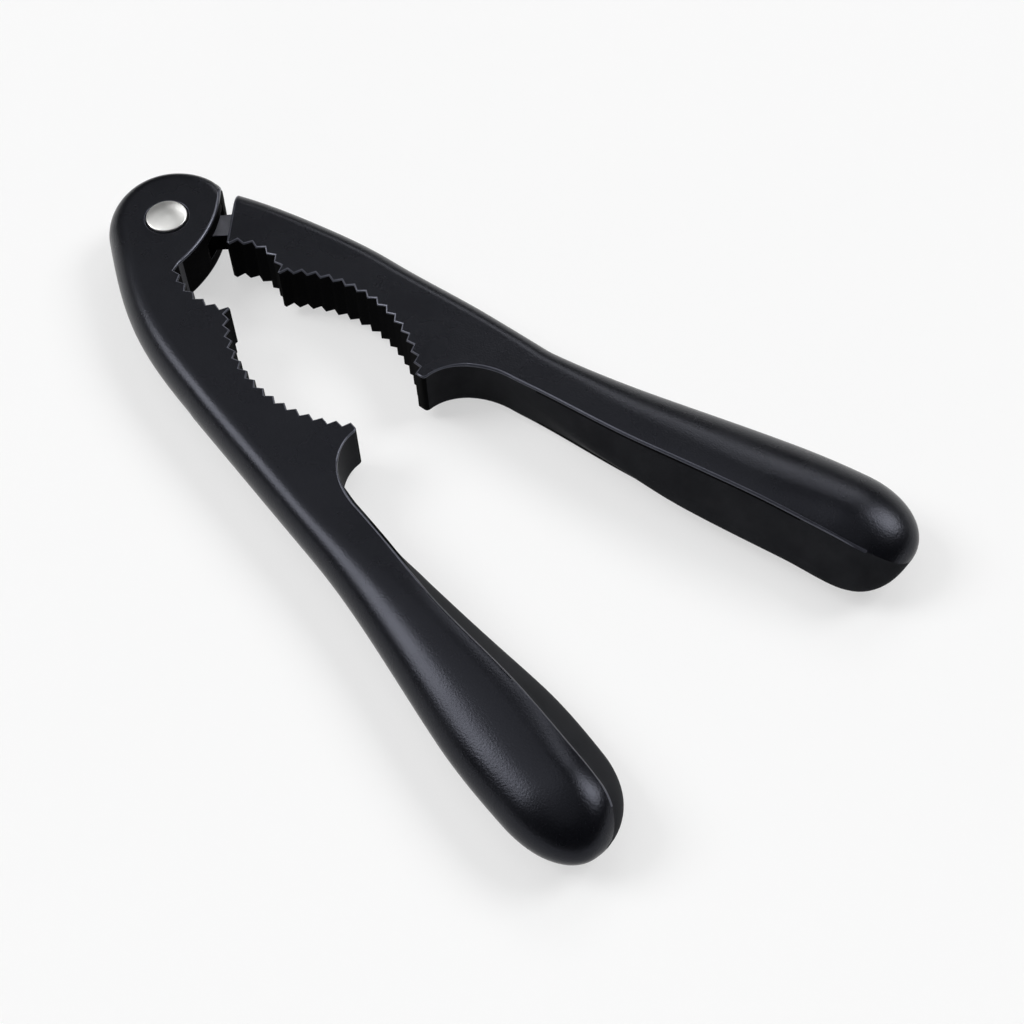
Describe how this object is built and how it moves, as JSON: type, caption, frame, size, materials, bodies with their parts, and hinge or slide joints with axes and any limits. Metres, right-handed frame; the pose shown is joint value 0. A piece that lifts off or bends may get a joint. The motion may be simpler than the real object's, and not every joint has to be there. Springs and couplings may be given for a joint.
{
  "type": "plier nutcracker",
  "caption": "Plier nutcracker with black-coated cast levers, toothed walnut and hazelnut jaws and rounded handles, hinged at the end on a domed steel rivet in a slotted head.",
  "frame": {"origin": "on the rivet axis, at the flat face of the lower rivet head", "axes": "+X along the middle between the handles, from the rivet to the handle ends; +Y towards the tongue lever; +Z along the rivet, towards its domed head"},
  "size_m": [0.1667, 0.0928, 0.014],
  "materials": {
    "coated_casting": "satin black coating with a fine grain",
    "rivet_steel": "satin"
  },
  "bodies": {
    "fork": {"fork_lever": "coated_casting", "rivet_pin": "rivet_steel", "rivet_sleeve": "rivet_steel"},
    "tongue": {"tongue_lever": "coated_casting"}
  },
  "joints": [
    {"name": "lever_hinge", "type": "hinge", "parent": "fork", "child": "tongue", "pos_m": [0, 0, 0.0057], "axis": [0, 0, 1], "range_deg": [-13.5, 12]}
  ]
}
